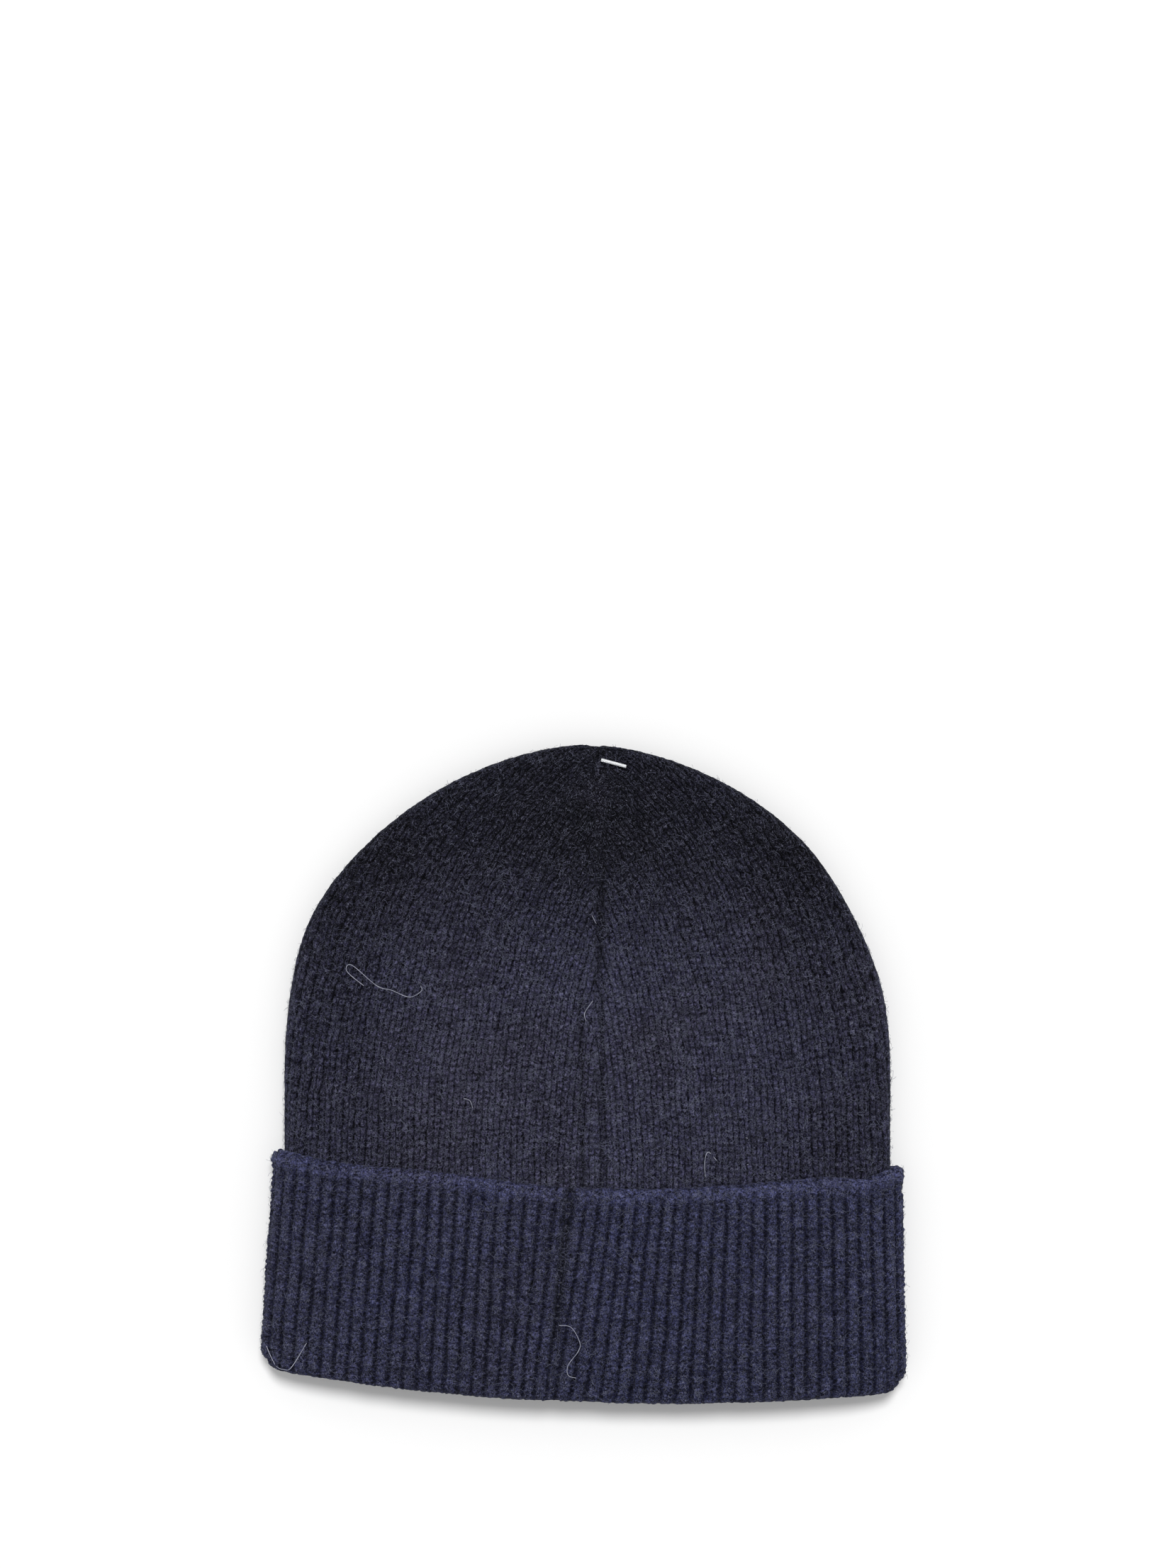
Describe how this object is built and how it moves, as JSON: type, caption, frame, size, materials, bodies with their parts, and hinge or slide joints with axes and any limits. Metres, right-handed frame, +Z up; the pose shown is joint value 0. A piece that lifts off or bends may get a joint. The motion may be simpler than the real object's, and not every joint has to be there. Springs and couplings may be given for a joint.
{
  "type": "knit beanie",
  "caption": "Cuffed rib-knit beanie lying flat, back upwards, with a round crown, a turned-up cuff, a back seam, a care label inside and a plastic tag pin",
  "frame": {"origin": "the middle of the bottom of the object's box, on the table that the hat lies on", "axes": "+X across the hat to the wearer's right side as seen from behind, +Y from the mouth to the crown, +Z up from the table out of the hat's back"},
  "size_m": [0.2209, 0.2241, 0.02],
  "materials": {
    "body_knit": "fine rib knit of a fuzzy dark navy wool blend yarn",
    "cuff_knit": "wide 1x1 rib knit of the same dark navy yarn, turned up",
    "seam_thread": "twisted dark navy sewing thread",
    "label_satin": "blank white woven satin ribbon, folded",
    "pin_plastic": "translucent white moulded polypropylene"
  },
  "bodies": {
    "hat": {"back_left_panel": "body_knit", "back_right_panel": "body_knit", "front_left_panel": "body_knit", "front_right_panel": "body_knit", "cuff_back": "cuff_knit", "cuff_front": "cuff_knit", "back_seam_allowance": "body_knit", "back_seam_stitches": "seam_thread", "left_dart_stitches": "seam_thread", "right_dart_stitches": "seam_thread", "front_dart_stitches": "seam_thread", "crown_knot": "seam_thread", "cuff_seam_stitches": "seam_thread", "cuff_tack": "seam_thread", "care_label_stitches": "seam_thread"},
    "label": {"care_label": "label_satin"},
    "pin": {"tag_pin_filament": "pin_plastic", "tag_pin_paddle": "pin_plastic"},
    "pin_bar": {"tag_pin_bar": "pin_plastic"}
  },
  "joints": [
    {"name": "label_flip", "type": "hinge", "parent": "hat", "child": "label", "pos_m": [0.0001, 0.0062, 0.01378], "axis": [0, 1, 0], "range_deg": [0, 18]},
    {"name": "pin_slide", "type": "slide", "parent": "hat", "child": "pin", "axis": [0.0489, 0.3238, 0.9449], "range_m": [0, 0.0024]},
    {"name": "pin_bar_swivel", "type": "hinge", "parent": "pin", "child": "pin_bar", "pos_m": [0.0104, 0.1048, 0.01377], "axis": [0.0489, 0.3238, 0.9449], "range_deg": [-90, 90]}
  ]
}
